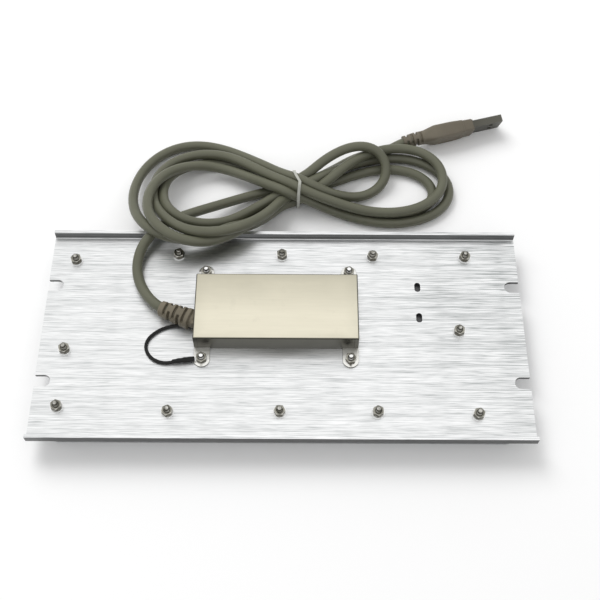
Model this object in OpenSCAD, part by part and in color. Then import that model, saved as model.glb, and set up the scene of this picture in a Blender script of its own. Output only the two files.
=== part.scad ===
// Panel-mount metal keyboard, lying on its front, rear side up.
// X runs along the long side, Y across it, Z out of the rear. The origin is
// at the middle of the front rim, which is the face that the part rests on.

/* [Rear panel] */
// Length of the rear panel along X
panel_w = 270; // [268:1:276]
// Depth of the rear panel over its lips
panel_d = 130.5; // [130:0.5:136]
// Thickness of the aluminium sheet
panel_t = 2; // [1.5:0.1:2]
// Height of a lip above the inner face of the sheet
lip_h = 4.5; // [3:0.5:6]
// Width of an open mounting slot
slot_w = 7; // [5.5:0.1:7.5]
// Depth of an open mounting slot from the short edge
slot_l = 8.5; // [7:0.5:8.5]
// Distance of each mounting slot from the long centre line
slot_y = 30.3; // [28:0.1:34]

/* [Front module] */
// Length of the front fascia
fascia_w = 251; // [250:1:252]
// Depth of the front fascia
fascia_d = 122; // [118:1:124]
// Height of the front module below the rear panel
module_h = 10; // [10:0.5:12]
// Key pitch along X
pitch_x = 26; // [25.5:0.1:26]
// Key pitch along Y
pitch_y = 29; // [28:0.5:29]
// Gap left between two key tops
key_gap = 3.4; // [3:0.1:5]
// Travel of a key
travel = 1.2; // [0.8:0.1:1.2]

/* [Controller cover] */
// Length of the cover
cover_w = 91; // [88:1:92]
// Depth of the cover
cover_d = 41.5; // [40:0.5:43]
// Height of the cover above the panel
cover_h = 12; // [11:0.5:14]
// Sheet thickness of the cover
cover_t = 1; // [0.8:0.1:1.2]

/* [Fasteners] */
// Thread diameter of the studs
stud_d = 3; // [2.5:0.5:3]
// Width of a nut across its flats
nut_af = 5.5; // [5:0.5:5.5]
// Height of a nut
nut_h = 2.4; // [2:0.1:2.6]

/* [Cable] */
// Diameter of the cable
cable_d = 6; // [5:0.5:6]
// Diameter of the ground wire
wire_d = 1.7; // [1.4:0.1:1.8]

/* [Hidden] */
e = 0.01;
pz = module_h;                 // underside of the rear panel
pt = pz + panel_t;             // inner face of the rear panel
fp = 3.5;                      // back of the key field plate
wall = 1.5;
// columns and rows of the twelve weld studs
stud_xy = [[-121, -45.5], [-61.4, -48.3], [-1.3, -48], [51.5, -48], [105.3, -49],
    [-121, 47.2], [-61.4, 51.2], [-1.3, 51.2], [51.5, 50.6], [105.3, 50.4], [-121, -11], [98.5, 1.5]];
cc = [-3.75, 10.75];           // centre of the controller cover
cover_stud_xy = [[-44.7, -17.1], [37.4, -17.1], [-44.7, 38.7], [37.4, 38.7]];
tie_slot_xy = [[76.6, 30.1], [76.6, 10.1]];
field_x0 = -115.5;             // left edge of the key field
field_y0 = -pitch_y * 1.5;
sr_dir = 158;                  // direction of the strain relief seen from above
sr_from = [-50.4, 4.5, pt + 6];

// centre of a key in column c, row r, w columns wide
function key_at(r, c, w) = [field_x0 + (c - 1 + w / 2) * pitch_x, -field_y0 - (r - 0.5) * pitch_y];

// route of the cable from the strain relief to the hank
lead_route = [[-68.8, 12.3, 18], [-71.5, 14, 17.4], [-74.5, 17, 16.6], [-77.5, 21, 15.9], [-80.5, 26, 15.4],
              [-83, 31, 15.2], [-84.8, 36.5, 15.3], [-85.6, 42, 15.8], [-85.2, 47, 17.2],
              [-84, 51.5, 19.2], [-82, 55.5, 21.2], [-79.5, 59.5, 22.4], [-76, 63.5, 22.4]];
// route of the cable from the hank to the plug
tail_route = [[52, 131.5, 3.2], [57, 133.4, 3.8], [62, 135.4, 4.8], [68, 137.8, 6.2], [74, 140.2, 7.2]];
// route of the ground wire
ground_route = [[-50.2, -1.2, 17], [-54, -0.8, 16.2], [-60, 0.6, 14.2], [-66, 1, 13.1], [-71, -1, 13],
                [-74.8, -4.8, 13], [-76, -9.4, 13], [-74.6, -13.8, 13], [-71, -17.6, 13], [-65.6, -19.6, 13.1],
                [-59.8, -19.2, 13.4], [-54, -18.2, 13.8], [-51.6, -17.9, 13.9]];
plug_at = [74, 140.2, 7.3];
plug_turn = 15.6;
plug_lean = 20;                // the plug stands on an edge, leaning to the front

// unit vector, and ring of n points about a route
function unit(v) = v / norm(v);
function tan_at(r, i) = unit(r[min(i + 1, len(r) - 1)] - r[max(i - 1, 0)]);
module tube(r, d, n = 10) {
    pts = [for (i = [0 : len(r) - 1])
        let (t = tan_at(r, i), s = unit(cross(t, [0, 0, 1])), u = cross(s, t))
        for (k = [0 : n - 1]) r[i] + (s * cos(360 * k / n) + u * sin(360 * k / n)) * d / 2];
    m = len(r);
    faces = concat(
        [[for (k = [0 : n - 1]) k]],
        [for (i = [0 : m - 2]) for (k = [0 : n - 1])
            [i * n + (k + 1) % n, i * n + k, (i + 1) * n + k, (i + 1) * n + (k + 1) % n]],
        [[for (k = [n - 1 : -1 : 0]) (m - 1) * n + k]]);
    polyhedron(points = pts, faces = faces, convexity = 6);
}
module at(list) { for (p = list) translate([p[0], p[1], 0]) children(); }
module rbox(w, d, r) { hull() for (x = [-1, 1], y = [-1, 1]) translate([x * (w / 2 - r), y * (d / 2 - r)]) circle(r, $fn = 32); }
module hex_nut(z, h, af, d) {
    translate([0, 0, z]) difference() {
        intersection() {
            cylinder(h = h, d = af / cos(30), $fn = 6);
            cylinder(h = h, d = af * 1.11, $fn = 48);
        }
        translate([0, 0, -1]) cylinder(h = h + 2, d = d, $fn = 32);
    }
}
// threaded stud with a domed tip, standing from z0 to z1
module stud(z0, z1, d = stud_d) {
    translate([0, 0, z0]) rotate_extrude($fn = 32)
        polygon([[0, 0], [d / 2, 0], [d / 2, z1 - z0 - 0.7], [d / 2 - 0.35, z1 - z0 - 0.15], [d / 2 - 0.8, z1 - z0], [0, z1 - z0]]);
}

module front_fascia() color([0.72, 0.73, 0.74]) difference() {
    linear_extrude(pz - 0.5) rbox(fascia_w, fascia_d, 5);
    translate([0, 0, fp]) linear_extrude(pz) rbox(fascia_w - 2 * wall, fascia_d - 2 * wall, 3.5);
    // dished key field
    translate([field_x0 - 2, field_y0 - 1, -1]) cube([8 * pitch_x + 4, 3 * pitch_y + 2, 3]);
    for (r = [1, 2], c = [1 : 8]) key_hole(r, c, 1);
    for (k = [[1, 1], [2, 1], [3, 4], [7, 1], [8, 1]]) key_hole(3, k[0], k[1]);
}
module key_hole(r, c, w) translate([key_at(r, c, w)[0], key_at(r, c, w)[1], 1])
    linear_extrude(4) square([w * pitch_x - key_gap + 0.6, pitch_y - key_gap + 0.6], center = true);
module key(r, c, w = 1) color([0.78, 0.79, 0.8]) translate([key_at(r, c, w)[0], key_at(r, c, w)[1], 0]) {
    kw = w * pitch_x - key_gap;
    kd = pitch_y - key_gap;
    difference() {
        union() {
            translate([0, 0, 0.5]) linear_extrude(3.2) square([kw, kd], center = true);
            translate([0, 0, 3.7]) linear_extrude(0.8) square([kw + 1.8, kd + 1.8], center = true);
            for (x = w == 1 ? [0] : [-pitch_x * 1.4, 0, pitch_x * 1.4]) translate([x, 0, 4.4]) cylinder(h = 1.5, d = 6, $fn = 32);
        }
        // shallow finger dish on the front face
        translate([0, 0, 0.5 - 59.6]) rotate([90, 0, 0]) cylinder(h = kd - 5, r = 60, center = true, $fn = 96);
    }
}
module fascia_studs() color([0.75, 0.76, 0.76]) at(stud_xy) stud(fp, pt + 5.5);
module fascia_gasket() color([0.12, 0.12, 0.12]) translate([0, 0, pz - 0.5]) linear_extrude(0.5) difference() {
    rbox(fascia_w, fascia_d, 5);
    rbox(fascia_w - 2 * wall, fascia_d - 2 * wall, 3.5);
}
module layer(z, t, r = 2.6) translate([0, 0, z]) linear_extrude(t) difference() {
    square([fascia_w - 2 * wall - 1, fascia_d - 2 * wall - 1], center = true);
    for (p = stud_xy) translate(p) circle(r, $fn = 32);
    for (x = [-1, 1], y = [-1, 1]) translate([x * (fascia_w / 2 - wall), y * (fascia_d / 2 - wall)]) rotate(45) square(8, center = true);
}
module dome() translate([0, 0, 6.2]) difference() {
    cylinder(h = 1.2, d1 = 9, d2 = 13, $fn = 48);
    translate([0, 0, -0.1]) cylinder(h = 1.4, d1 = 7.4, d2 = 11.4, $fn = 48);
}
module key_mat() color([0.3, 0.3, 0.32]) {
    layer(7.3, 0.8);
    for (r = [1, 2], c = [1 : 8]) translate([key_at(r, c, 1)[0], key_at(r, c, 1)[1], 0]) dome();
    for (k = [[1, 1], [2, 1], [7, 1], [8, 1]]) translate([key_at(3, k[0], 1)[0], key_at(3, k[0], 1)[1], 0]) dome();
    for (x = [-1.4, 0, 1.4]) translate([key_at(3, 3, 4)[0] + x * pitch_x, key_at(3, 3, 4)[1], 0]) dome();
}
module key_circuit_board() color([0.08, 0.35, 0.16]) layer(8.1, 1.2, 2.2);
module insulating_film() color([0.1, 0.1, 0.11]) difference() {
    layer(9.3, 0.3, 3);
    translate([cc[0], -1, 0]) cube([32, 8, 30], center = true);
    translate([60, -20, 0]) cube([14, 14, 30], center = true);
}
module matrix_chip() color([0.1, 0.1, 0.1]) translate([60, -20, 9.3]) translate([-4, -4, 0]) cube([8, 8, 0.6]);

// cross-section of the bent sheet, Y across, Z up
module panel_section() {
    h = panel_d / 2;
    difference() {
        translate([-h, 0]) square([2 * h, panel_t + lip_h]);
        translate([-h + panel_t + 1, panel_t]) square([2 * h - 2 * panel_t - 2, lip_h + 1]);
        for (s = [-1, 1]) {
            translate([s * (h - panel_t - 0.5) - 0.5, panel_t + 1]) square([1, lip_h + 1]);
            translate([s * (h - panel_t - 1), panel_t + 1]) circle(1, $fn = 32);
            translate([s * (h - panel_t - 0.9) - 0.1 - 0.5, panel_t + 1]) square([1, lip_h]);
        }
    }
}
module rear_panel() color([0.86, 0.87, 0.88]) difference() {
    translate([-panel_w / 2, 0, pz]) rotate([90, 0, 90]) linear_extrude(panel_w) difference() {
        panel_section();
        for (s = [-1, 1]) translate([s * (panel_d / 2 - 2), 2]) mirror([s < 0 ? 1 : 0, 0]) difference() {
            translate([0, -2.1]) square([2.1, 2.1]);
            circle(2, $fn = 48);
        }
    }
    at(stud_xy) translate([0, 0, pz - 1]) cylinder(h = panel_t + 2, d = stud_d + 0.4, $fn = 32);
    for (x = [-1, 1], y = [-1, 1]) translate([x * (panel_w / 2 - slot_l + slot_w / 2), y * slot_y, pz - 1]) {
        cylinder(h = panel_t + 2, d = slot_w, $fn = 48);
        translate([x > 0 ? 0 : -20, -slot_w / 2, 0]) cube([20, slot_w, panel_t + 2]);
    }
    for (p = tie_slot_xy) for (s = [-1, 1]) translate([p[0], p[1] + s * 1.3, pz - 1]) cylinder(h = panel_t + 2, d = 3.4, $fn = 32);
    for (p = tie_slot_xy) translate([p[0] - 1.7, p[1] - 1.3, pz - 1]) cube([3.4, 2.6, panel_t + 2]);
    translate([cc[0] - 14, -3, pz - 1]) cube([28, 4, panel_t + 2]);
}
module stud_washers() color([0.85, 0.86, 0.86]) at(stud_xy) translate([0, 0, pt]) difference() {
    cylinder(h = 0.5, d = 7, $fn = 48);
    translate([0, 0, -1]) cylinder(h = 3, d = stud_d + 0.2, $fn = 32);
}
module stud_nuts() color([0.72, 0.71, 0.66]) at(stud_xy) hex_nut(pt + 0.5, nut_h, nut_af, stud_d);

// one foot tab of the cover, running out along Y from the wall
module tab(s) {
    difference() {
        union() {
            translate([-4.5, s > 0 ? -7.5 : 0, 0]) cube([9, 7.5, cover_t]);
            cylinder(h = cover_t, d = 9, $fn = 48);
        }
        translate([0, 0, -1]) cylinder(h = cover_t + 2, d = stud_d + 0.4, $fn = 32);
    }
}
module controller_cover() color([0.8, 0.76, 0.66]) {
    difference() {
        union() {
            translate([cc[0] - cover_w / 2, cc[1] - cover_d / 2, pt]) cube([cover_w, cover_d, cover_h]);
            for (p = cover_stud_xy) translate([p[0], p[1], pt]) tab(p[1] > 0 ? 1 : -1);
        }
        translate([cc[0] - cover_w / 2 + cover_t, cc[1] - cover_d / 2 + cover_t, pt - 1])
            cube([cover_w - 2 * cover_t, cover_d - 2 * cover_t, cover_h - cover_t + 1]);
        // notch for the strain relief, and a small one for the ground wire
        translate([cc[0] - cover_w / 2 - 1, sr_from[1] - 4.5, pt - 1]) cube([3, 9, 11]);
        translate([cc[0] - cover_w / 2 - 1, -2.4, pt + 3.8]) cube([3, 2.5, 2.4]);
    }
}
module cover_studs() color([0.75, 0.76, 0.76]) at(cover_stud_xy) stud(pt, pt + 6.2);
module cover_nuts() color([0.72, 0.71, 0.66]) at(cover_stud_xy) hex_nut(pt + cover_t + 0.6, nut_h, nut_af, stud_d);
board_xy = [for (x = [-33, 33], y = [-10, 10]) [cc[0] + x, cc[1] + 2 + y]];
module board_spacers() color([0.9, 0.9, 0.86]) at(board_xy) translate([0, 0, pt]) difference() {
    cylinder(h = 3, d = 5, $fn = 32);
    translate([0, 0, -1]) cylinder(h = 6, d = 2.6, $fn = 32);
}
module controller_board() color([0.08, 0.35, 0.16]) difference() {
    translate([cc[0] - 37, cc[1] - 12, pt + 3]) cube([74, 28, 1.2]);
    at(board_xy) translate([0, 0, pt]) cylinder(h = 8, d = 2.6, $fn = 32);
}
module controller_chips() color([0.1, 0.1, 0.1]) {
    translate([cc[0] - 2, cc[1] - 4, pt + 4.2]) cube([12, 12, 1.6]);
    translate([cc[0] + 17, cc[1] - 6, pt + 4.2]) cube([4, 6, 1.4]);
    translate([cc[0] + 26, cc[1] + 2, pt + 4.2]) cylinder(h = 5, d = 5, $fn = 32);
    translate([cc[0] - 14, cc[1] + 4, pt + 4.2]) cube([7, 3.4, 2.6]);
}
module cable_header() color([0.93, 0.92, 0.88]) translate([cc[0] - 35, cc[1] - 9.5, pt + 4.2]) difference() {
    cube([5, 11, 5]);
    translate([-1, 1, 1]) cube([4.5, 9, 3]);
}
module ribbon_cable() color([0.85, 0.85, 0.82]) translate([cc[0] - 12.5, -1.4, 9.3]) cube([25, 0.8, pt + 3 - 9.3]);
module cable_cores() color([0.75, 0.15, 0.12]) for (i = [0 : 3])
    tube([[-45.2, sr_from[1] - 2 + i * 1.2, pt + 6.2], [-43, sr_from[1] - 2 + i * 1.4, pt + 6.4], [-40, cc[1] - 8 + i * 2, pt + 6.6], [cc[0] - 33, cc[1] - 7.6 + i * 2.2, pt + 6.6]], 1, 6);

module strain_relief() color([0.5, 0.48, 0.42]) union() {
    // grommet through the wall, with a flange inside
    translate([-51.2, sr_from[1] - 4.4, pt + 1.2]) cube([5, 8.8, 8.7]);
    translate([-48.2, sr_from[1] - 6, pt + 0.6]) cube([2, 12, 10]);
    translate(sr_from) rotate([0, 0, sr_dir]) rotate([0, 90, 0]) rotate_extrude($fn = 48)
        polygon([[0, -1], [4.2, -1], [4.2, 0.6], [5.7, 1.6], [5.7, 4],
                 for (i = [0 : 4]) each [[5.6 - i * 0.32, 4.5 + i * 3], [4.5 - i * 0.15, 5 + i * 3], [4.5 - i * 0.15, 6.2 + i * 3], [5.4 - i * 0.32, 6.6 + i * 3]],
                 [4, 20], [0, 20]]);
}
module usb_cable_lead() color([0.43, 0.44, 0.38]) tube(lead_route, cable_d);
module usb_cable_tail() color([0.43, 0.44, 0.38]) tube(tail_route, cable_d);
// figure-of-eight hank: a tilted left bight that lies over the rear lip, a
// flat right bight, and a waist where it is tied
module usb_cable_hank() color([0.43, 0.44, 0.38]) intersection() {
    union() {
        translate([0, 65, pt + lip_h + 1]) rotate([-15.6, 0, 0]) translate([0, -65, 0]) linear_extrude(15) hull() {
            translate([-49, 96]) circle(46, $fn = 64);
            translate([-6, 101]) circle(9, $fn = 48);
        }
        translate([0, 0, 0.1]) linear_extrude(18.6) hull() {
            translate([77, 108]) circle(29.5, $fn = 64);
            translate([19, 102]) circle(9, $fn = 48);
        }
        translate([-8, 101.5, 0]) rotate([90, 0, 90]) linear_extrude(22) translate([0, 10]) rbox(22, 17.4, 5);
    }
    translate([-150, 0, 0.1]) cube([300, 300, 100]);
}
module cable_tie() color([0.85, 0.86, 0.84]) translate([5, 101.5, 10]) rotate([90, 0, 90]) linear_extrude(2.6) difference() {
    rbox(24, 19.4, 6);
    rbox(22, 17.4, 5);
}
module on_plug() translate(plug_at) rotate([0, 0, plug_turn]) rotate([plug_lean, 0, 0]) children();
module plug_overmold() color([0.52, 0.48, 0.44]) on_plug() difference() {
    union() {
        rotate([0, 90, 0]) rotate_extrude($fn = 40)
            polygon([[0, 0], [3.6, 0], [3.7, 1.6], [3.2, 2], [3.2, 3.2], [4, 3.6], [4.1, 5.2], [3.4, 5.6], [3.4, 6.8], [4.4, 7.2], [4.5, 8.8], [3.6, 9.2], [3.6, 10.4], [4.4, 10.8], [4.4, 14], [0, 14]]);
        hull() {
            translate([12, 0, 0]) rotate([0, 90, 0]) linear_extrude(1) rbox(10, 8, 2);
            translate([20, 0, 0]) rotate([0, 90, 0]) linear_extrude(1) rbox(13, 8.2, 1.6);
            translate([45, 0, 0]) rotate([0, 90, 0]) linear_extrude(1) rbox(13, 8, 1.4);
        }
    }
    translate([38, -2.25, -6]) cube([20, 4.5, 12]);
}
module plug_shell() color([0.35, 0.34, 0.32]) on_plug() difference() {
    translate([38, -2.25, -6]) cube([27, 4.5, 12]);
    translate([39, -1.95, -5.7]) cube([30, 3.9, 11.4]);
    for (z = [-2.8, 2.8]) translate([58, 0, z]) cube([2.4, 10, 2.4], center = true);
}
module plug_tongue() color([0.9, 0.9, 0.88]) on_plug() translate([39, 0.2, -5.5]) cube([24.5, 1.7, 11]);
module plug_contacts() color([0.85, 0.7, 0.3]) on_plug() for (z = [-3.5, -1, 1, 3.5]) translate([52, 0, z - 0.5]) cube([11, 0.2, 1]);
module ground_wire() color([0.08, 0.08, 0.08]) tube(ground_route, wire_d, 8);
module heat_shrink() color([0.05, 0.05, 0.05]) translate([-51.8, -18, 14]) rotate([0, 90, 8]) difference() {
    translate([0, 0, -6.5]) cylinder(h = 7, d = 3, $fn = 32);
    translate([0, 0, -7]) cylinder(h = 8, d = wire_d, $fn = 24);
}
module ring_terminal() color([0.75, 0.75, 0.74]) translate([-44.7, -17.1, pt + cover_t]) {
    difference() {
        union() {
            cylinder(h = 0.6, d = 6.4, $fn = 40);
            rotate([0, 0, 187]) translate([0, -1.1, 0]) cube([6.8, 2.2, 0.6]);
        }
        translate([0, 0, -1]) cylinder(h = 3, d = stud_d + 0.2, $fn = 32);
    }
}

front_fascia();
fascia_studs();
fascia_gasket();
key_mat();
key_circuit_board();
insulating_film();
matrix_chip();
rear_panel();
stud_washers();
stud_nuts();
controller_cover();
cover_studs();
cover_nuts();
board_spacers();
controller_board();
controller_chips();
cable_header();
ribbon_cable();
cable_cores();
strain_relief();
usb_cable_lead();
usb_cable_hank();
usb_cable_tail();
cable_tie();
plug_overmold();
plug_shell();
plug_tongue();
plug_contacts();
ground_wire();
heat_shrink();
ring_terminal();
key(1, 1, 1);  // key_r1_c1
key(1, 2, 1);  // key_r1_c2
key(1, 3, 1);  // key_r1_c3
key(1, 4, 1);  // key_r1_c4
key(1, 5, 1);  // key_r1_c5
key(1, 6, 1);  // key_r1_c6
key(1, 7, 1);  // key_r1_c7
key(1, 8, 1);  // key_r1_c8
key(2, 1, 1);  // key_r2_c1
key(2, 2, 1);  // key_r2_c2
key(2, 3, 1);  // key_r2_c3
key(2, 4, 1);  // key_r2_c4
key(2, 5, 1);  // key_r2_c5
key(2, 6, 1);  // key_r2_c6
key(2, 7, 1);  // key_r2_c7
key(2, 8, 1);  // key_r2_c8
key(3, 1, 1);  // key_r3_c1
key(3, 2, 1);  // key_r3_c2
key(3, 3, 4);  // space_bar
key(3, 7, 1);  // key_r3_c7
key(3, 8, 1);  // key_r3_c8
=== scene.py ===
import math

import bmesh
import bpy
import numpy as np
from mathutils import Matrix, Vector


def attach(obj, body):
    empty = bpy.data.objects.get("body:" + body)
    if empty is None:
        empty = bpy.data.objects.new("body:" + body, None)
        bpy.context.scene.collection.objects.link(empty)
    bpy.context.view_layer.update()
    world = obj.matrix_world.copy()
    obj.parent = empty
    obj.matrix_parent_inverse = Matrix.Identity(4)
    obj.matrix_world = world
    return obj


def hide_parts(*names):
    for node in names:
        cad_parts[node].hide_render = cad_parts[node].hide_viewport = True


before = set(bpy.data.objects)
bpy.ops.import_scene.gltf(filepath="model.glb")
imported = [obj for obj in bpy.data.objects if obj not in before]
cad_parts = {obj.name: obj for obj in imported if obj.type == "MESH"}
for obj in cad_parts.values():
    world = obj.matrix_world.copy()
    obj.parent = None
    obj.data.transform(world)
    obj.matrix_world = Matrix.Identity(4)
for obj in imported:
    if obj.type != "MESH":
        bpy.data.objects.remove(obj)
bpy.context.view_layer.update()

MM = 0.001
scene = bpy.context.scene

# ---------------------------------------------------------------- camera
cam_data = bpy.data.cameras.new("camera")
cam_data.lens = 60.0
cam_data.sensor_width = 36.0
cam_data.clip_start, cam_data.clip_end = 0.01, 50.0
cam = bpy.data.objects.new("camera", cam_data)
scene.collection.objects.link(cam)
VIEWPOINT = np.array([9.3, -264.5, 505.0])
cam.matrix_world = (
    Matrix.Translation(Vector(VIEWPOINT * MM))
    @ Matrix.Rotation(math.radians(30.1), 4, "X")
    @ Matrix.Rotation(math.radians(0.3), 4, "Z")
)
scene.camera = cam

# ---------------------------------------------------------------- the cable's route, mm
# Four figure-of-eight turns, tied at the waist. Every row is one run.
WAY = [
    [(-64, 10, 18), (-69, 12, 17.9)],
    [(-80.5, 26.5, 15.5), (-85.5, 41.5, 15), (-80.5, 56.5, 22)],
    [(-68.5, 70, 19.5), (-49, 82, 14.5), (-30.5, 93, 9), (-11.5, 103.5, 4)],
    [(6.5, 110, 3)],
    [(21.5, 109.5, 3), (41.5, 116.5, 3), (57.5, 121.5, 3), (75.5, 120, 3), (89.5, 112, 3)],
    [(91, 96, 3), (69, 86.5, 3), (52, 87.5, 3), (35.5, 94, 3), (21.5, 100.5, 3)],
    [(7, 102.5, 9.5)],
    [(-9, 114, 5), (-25.5, 121, 5.5), (-42.5, 124, 6.5), (-59.5, 121, 8), (-72.5, 110, 11.5)],
    [(-76.5, 95, 16.5), (-71, 78, 23), (-56.5, 65.5, 26), (-38.5, 68, 21), (-22, 79, 14.5), (-4, 95, 8.5)],
    [(12, 101.5, 12), (26, 112, 11), (41.5, 122.5, 8), (57.5, 130, 4), (76, 130, 3), (90.5, 124, 3)],
    [(102.5, 108, 3), (96, 91, 3), (76, 82, 3), (60, 80.5, 3), (39.5, 85, 3.5), (22, 90.5, 6)],
    [(8, 90.5, 14.5)],
    [(-6.5, 102, 9.5), (-23, 110.5, 9.5), (-37.5, 116.5, 9), (-53.5, 119.5, 10.5), (-70, 110.5, 15), (-78.5, 95, 21)],
    [(-80.5, 76, 26.5), (-74, 59, 29.5), (-56, 51, 28), (-37, 53.5, 25), (-23.5, 62, 20.5), (-10, 74.5, 15)],
    [(6.5, 92, 8.5)],
    [(18, 104.5, 10), (32.5, 116, 10.5), (47, 125.8, 10.5), (65.5, 133, 10.5), (81, 132, 10.5), (96, 120, 9)],
    [(96, 101, 9), (81, 88, 9), (64.5, 84.5, 9), (49, 85.5, 9), (28, 93.5, 9.5)],
    [(7, 98.5, 15)],
    [(-8.5, 111, 11), (-23.5, 121, 8.5), (-39.5, 127, 8), (-59.5, 126.5, 9), (-73, 117.5, 11), (-76.5, 98.5, 15.5)],
    [(-75, 82.5, 21.5), (-70, 68.5, 27.5), (-56, 55.5, 31.5), (-37.5, 56, 28.5), (-21.5, 66, 22), (-3, 83, 15)],
    [(5.5, 95, 9)],
    [(8.5, 111.5, 10.5), (28, 125, 13), (46.5, 132, 14.5), (61.5, 120.5, 15.5), (62, 108, 9), (48, 99.5, 3.5)],
    [(30, 99, 6)],
    [(8.5, 101.5, 16)],
    [(-9, 112.5, 14), (-25, 125, 9.5), (-40.5, 135.5, 5), (-57, 139.5, 3.5), (-72.5, 135.5, 4), (-85, 122.5, 6.5), (-91, 104.5, 11), (-91, 86.5, 16.5)],
    [(-85, 69.5, 22), (-70, 57, 22.5), (-48.5, 56.5, 21), (-33.5, 62.5, 17.5), (-19, 74.5, 12.5), (-3, 91, 7)],
    [(15, 104.5, 8.5), (32.5, 117.5, 6.5), (50.5, 131.5, 3), (60, 132.4, 3.1), (66.5, 135.2, 3.6), (74, 140.2, 7.3), (79.5, 141.7, 7.3)],
]
CORD_D = 6.0
PLUG_A = np.array([74.0, 140.2, 7.3])
PLUG_AXIS = np.array([0.9632, 0.2689, 0.0])
WAIST = np.array([101.5, 10.2])
WAIST_HALF = np.array([8.0, 7.0])
STUD_XY = [(-121, -45.5), (-61.4, -48.3), (-1.3, -48), (51.5, -48), (105.3, -49),
           (-121, 47.2), (-61.4, 51.2), (-1.3, 51.2), (51.5, 50.6), (105.3, 50.4), (-121, -11), (98.5, 1.5)]


def resample(points, step):
    """Points on a smooth curve through the given ones, evenly spaced."""
    p = np.array(points, float)
    n = len(p)
    t = np.r_[0, np.cumsum(np.linalg.norm(np.diff(p, axis=0), axis=1))]
    m = np.zeros_like(p)
    m[1:-1] = 0.5 * (
        (p[2:] - p[1:-1]) / (t[2:] - t[1:-1])[:, None]
        + (p[1:-1] - p[:-2]) / (t[1:-1] - t[:-2])[:, None]
    )
    m[0] = (p[1] - p[0]) / (t[1] - t[0])
    m[-1] = (p[-1] - p[-2]) / (t[-1] - t[-2])
    fine = np.linspace(0, t[-1], int(t[-1] * 2))
    k = np.clip(np.searchsorted(t, fine, side="right") - 1, 0, n - 2)
    h = (t[k + 1] - t[k])[:, None]
    u = (fine[:, None] - t[k][:, None]) / h
    q = (
        (2 * u**3 - 3 * u**2 + 1) * p[k]
        + (u**3 - 2 * u**2 + u) * h * m[k]
        + (-2 * u**3 + 3 * u**2) * p[k + 1]
        + (u**3 - u**2) * h * m[k + 1]
    )
    d = np.r_[0, np.cumsum(np.linalg.norm(np.diff(q, axis=0), axis=1))]
    s = np.linspace(0, d[-1], max(2, int(round(d[-1] / step)) + 1))
    return np.stack([np.interp(s, d, q[:, i]) for i in range(3)], 1)


def lay_down(start, d, rest, rounds, head, tail):
    """Lets a cable of diameter d settle: it keeps its length and a smooth bend, drops onto
    the ground, the panel, its lip and itself. In the middle of the bundle under the tie, the
    130 rounds leave strands overlapping."""
    x, home, n = start.copy(), start.copy(), len(start)
    sight = home - VIEWPOINT
    sight /= np.linalg.norm(sight, axis=1)[:, None]
    i = np.arange(n)
    apart = np.triu(np.abs(i[:, None] - i[None, :]) > 5, 1)
    boxes = [((-135, -65.25, 10), (135, 65.25, 12)), ((-135, 63.25, 10), (135, 65.25, 16.5))]
    boxes = [(np.array(a, float), np.array(b, float)) for a, b in boxes]
    for it in range(rounds):
        x[head:, 2] -= 0.06 * (1 - it / rounds) + 0.01
        for s, w in ((4, 0.10), (2, 0.2), (1, 0.3)):
            t = (-x[: -4 * s] + 4 * x[s : -3 * s] + 4 * x[3 * s : -s] - x[4 * s :]) / 6.0
            x[2 * s : -2 * s] += w * (t - x[2 * s : -2 * s])
        off = home - x
        off -= (off * sight).sum(1)[:, None] * sight
        x += 0.04 * off
        for _ in range(2):
            g = (x**2).sum(1)
            d2 = g[:, None] + g[None, :] - 2 * x @ x.T
            a, b = np.where(apart & (d2 < (d * 1.02) ** 2))
            if len(a):
                v = x[a] - x[b]
                r = np.linalg.norm(v, axis=1) + 1e-9
                push = v * ((d * 1.02 - r) / r * 0.5)[:, None]
                move, hits = np.zeros_like(x), np.zeros(n)
                np.add.at(move, a, push)
                np.add.at(move, b, -push)
                np.add.at(hits, a, 1)
                np.add.at(hits, b, 1)
                x += move / np.maximum(hits, 1)[:, None] * 0.9
            for odd in (0, 1):
                a, b = x[odd:-1:2], x[odd + 1 :: 2]
                m = min(len(a), len(b))
                v = b[:m] - a[:m]
                r = np.linalg.norm(v, axis=1)
                c = ((r - rest) / r * 0.4)[:, None] * v
                x[odd : odd + 2 * m : 2] += c
                x[odd + 1 : odd + 1 + 2 * m : 2] -= c
            # the tie squeezes the runs into its rounded loop
            near = np.clip(1.6 - np.abs(x[:, 0] - 6.3) / 7.0, 0, 1)
            q = (x[:, 1:] - WAIST) / WAIST_HALF
            r = (q**4).sum(1) ** 0.25
            h = (r > 1) & (near > 0) & (r < 3)
            x[h, 1:] -= (q[h] * WAIST_HALF) * (1 - 1 / r[h])[:, None] * 0.6 * near[h][:, None]
            x[:, 2] = np.maximum(x[:, 2], d / 2)
            for lo, hi in boxes:
                v = x - np.clip(x, lo, hi)
                r = np.linalg.norm(v, axis=1)
                h = (r < d / 2) & (r > 1e-6)
                x[h] += v[h] * ((d / 2 - r[h]) / r[h])[:, None]
                x[r <= 1e-6, 2] = hi[2] + d / 2
            w = x[: -3 * tail] - PLUG_A
            u = np.clip(w @ PLUG_AXIS, 0, 16)
            v = w - u[:, None] * PLUG_AXIS
            r = np.linalg.norm(v, axis=1)
            h = r < d / 2 + 4.1
            x[: -3 * tail][h] += v[h] * ((d / 2 + 4.1 - r[h]) / r[h])[:, None] * 0.7
            for s in STUD_XY[5:9]:
                v = x[:, :2] - s
                r = np.linalg.norm(v, axis=1)
                h = (r < d / 2 + 3.3) & (x[:, 2] < 16.5)
                x[h, :2] += v[h] * ((d / 2 + 3.3 - r[h]) / r[h])[:, None] * 0.5
        x[:head], x[-tail:] = home[:head], home[-tail:]
    return x


def smooth_line(points, times):
    p = points.copy()
    for _ in range(times):
        p[1:-1] = 0.25 * p[:-2] + 0.5 * p[1:-1] + 0.25 * p[2:]
    return p


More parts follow.
